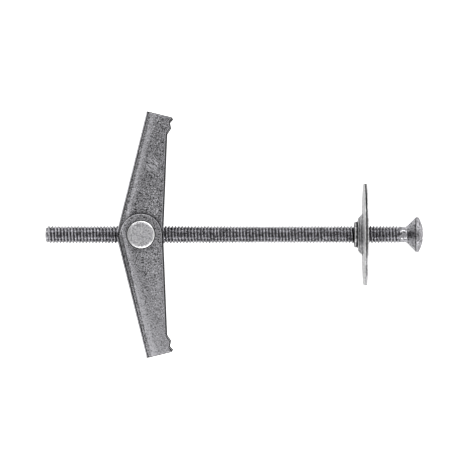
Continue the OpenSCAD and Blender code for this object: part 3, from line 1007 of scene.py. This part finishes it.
def wing_zinc_with_painted_light(name, stands, steps):
    """The zinc of a wing, with painted light and shade set by places on the wing as it was pressed.
    """
    material = zinc(
        f"{name}_zinc", base=grey(WING_GREY[name]), dull=grey(DULL_SHARE * WING_GREY[name]),
        dark=grey(0.05), bright=grey(0.97), rubbed=grey(0.9), patch_scale=260, patch_amount=0.6,
        speck_scale=4600, bright_specks=1.0, dark_specks=1.0, smooth=0.34, rough=0.48,
        rubbed_rough=0.35, pits=0.2,
    )
    nodes, links = material.node_tree.nodes, material.node_tree.links
    place = nodes.new("ShaderNodeTexCoord")
    on_pressing = nodes.new("ShaderNodeMapping")
    on_pressing.vector_type = "TEXTURE"
    on_pressing.inputs["Location"].default_value = stands.to_translation()
    on_pressing.inputs["Rotation"].default_value = stands.to_euler()
    flat = nodes.new("ShaderNodeVectorMath")
    flat.operation = "MULTIPLY"
    flat.inputs[1].default_value = (1, 1, 0)
    round_nut = nodes.new("ShaderNodeVectorMath")
    round_nut.operation = "LENGTH"
    parts = nodes.new("ShaderNodeSeparateXYZ")
    links.new(place.outputs["Object"], on_pressing.inputs["Vector"])
    links.new(on_pressing.outputs["Vector"], flat.inputs[0])
    links.new(flat.outputs["Vector"], round_nut.inputs[0])
    links.new(on_pressing.outputs["Vector"], parts.inputs[0])
    reach = {"X": parts.outputs["X"], "Y": parts.outputs["Y"], "Round": round_nut.outputs["Value"]}
    light_and_scuffs = None
    for way, first, last, change in steps:
        total = nodes.new("ShaderNodeMath")
        total.inputs[0].default_value = SHADE_AT_NUT
        links.new(stepped(material, reach[way], first * MM, last * MM, change), total.inputs[1])
        if light_and_scuffs:
            links.new(light_and_scuffs, total.inputs[0])
        light_and_scuffs = total.outputs[0]
    if name in SCUFF_PLACE:
        light_and_scuffs = scuffs(material, flat.outputs["Vector"], SCUFF_PLACE[name], light_and_scuffs)
    coat = next(node for node in nodes if node.bl_idname == "ShaderNodeGroup")
    links.new(light_and_scuffs, coat.inputs["Painted_light_and_scuffs"])
    return material


wing.data.materials.clear()
fold_out = Matrix.Rotation(math.radians(90) - OPEN_SLOPE, 4, "Z")
for name, half_turn in (("right_wing", 180), ("left_wing", 0)):
    take_up(wing)
    if half_turn:
        bpy.ops.object.duplicate()
    pressing = bpy.context.object
    pressing.name = name.replace("wing", "wing_pressing")
    stands = LAY @ Matrix.Rotation(math.radians(half_turn), 4, "X") @ fold_out
    pressing.matrix_world = stands
    settle(pressing)
    steps = PAINTED_LIGHT_STEPS + BEND_REFLECTION_BANDS[name] + [TIP_LIGHTENING[name]]
    pressing.data.materials.append(wing_zinc_with_painted_light(name, stands, steps))
    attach(pressing, name)
    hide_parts(name)

# ---- Torsion spring ----
# One piece of hard-drawn wire with a coil on each side of the screw. The bridge between the
# coils bears on the left wing's web and the two free ends on the right wing's.
WIRE = 0.225 * MM
COIL_RADIUS = 3.695 * MM
COIL_IN_Z = 2.325 * MM
TURN_RISE = 0.47 * MM
COIL_TURNS = 2
LEG_REACH = 8.5 * MM
LEG_FROM_WEB = 0.06 * MM
BRIDGE_CORNER = 0.9 * MM
COIL_STEP = math.radians(10)
LEG_STEPS = 8
CORNER_STEPS = 6
WIRE_ROUNDNESS = 3

leg_end = point(LEG_REACH, WEB_INSIDE - WIRE - LEG_FROM_WEB)
heel_turn = math.atan2(leg_end.y, leg_end.x) + math.acos(COIL_RADIUS / leg_end.length)
heel = COIL_RADIUS * point(math.cos(heel_turn), math.sin(heel_turn))
along_leg = (leg_end - heel).normalized()
open_turn = math.radians(90) - OPEN_SLOPE
coil_start = open_turn + heel_turn
coil_sweep = math.tau * COIL_TURNS + 2 * (math.pi - coil_start)
coil_out_z = COIL_IN_Z + COIL_TURNS * TURN_RISE


def on_wing(place, z, sign=1):
    """A place given along and across an open wing, as seen from the nut's axis."""
    turned_place = Matrix.Rotation(open_turn, 3, "Z") @ place
    return Vector((turned_place.x, sign * turned_place.y, z))


def wire(name, points, body):
    """A round wire along a line of points, which rides on a body."""
    piece = trace(name, points)
    take_up(piece)
    bpy.ops.object.convert(target="CURVE")
    piece = bpy.context.object
    piece.data.bevel_depth = WIRE
    piece.data.bevel_resolution = WIRE_ROUNDNESS
    piece.data.use_fill_caps = True
    bpy.ops.object.convert(target="MESH")
    piece = bpy.context.object
    turn_outwards(piece)
    smooth(piece, 50)
    piece.data.materials.append(spring_steel)
    lay_down(piece)
    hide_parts("torsion_spring")
    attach(piece, body)


spring_steel = zinc(
    "spring_wire", base=grey(0.40), dull=grey(0.25), dark=grey(0.15), bright=grey(0.7),
    rubbed=grey(0.7), patch_scale=900, patch_amount=0.5, speck_scale=4000,
    bright_specks=0.3, dark_specks=0.3, smooth=0.22, rough=0.38, rubbed_rough=0.3,
)
for side, up in (("upper", 1), ("lower", -1)):
    steps = math.ceil(coil_sweep / COIL_STEP)
    coil = [
        Vector((
            COIL_RADIUS * math.cos(coil_start + coil_sweep * i / steps),
            COIL_RADIUS * math.sin(coil_start + coil_sweep * i / steps),
            up * (COIL_IN_Z + (coil_out_z - COIL_IN_Z) * i / steps),
        ))
        for i in range(steps + 1)
    ]
    wire(f"spring_coil_{side}", coil, "cross_nut")
    leg = [
        on_wing(heel + (leg_end - heel) * i / LEG_STEPS, up * coil_out_z, -1)
        for i in range(LEG_STEPS + 1)
    ]
    wire(f"spring_leg_{side}", leg, "right_wing")
corner = [
    on_wing(
        leg_end - BRIDGE_CORNER * (1 - math.sin(a)) * along_leg,
        COIL_IN_Z - BRIDGE_CORNER * (1 - math.cos(a)),
    )
    for a in [math.radians(90 * i / CORNER_STEPS) for i in range(CORNER_STEPS + 1)]
]
run = [on_wing(heel, COIL_IN_Z)] + corner
bridge = run + [Vector((p.x, p.y, -p.z)) for p in reversed(run)]
wire("spring_bridge", bridge, "left_wing")
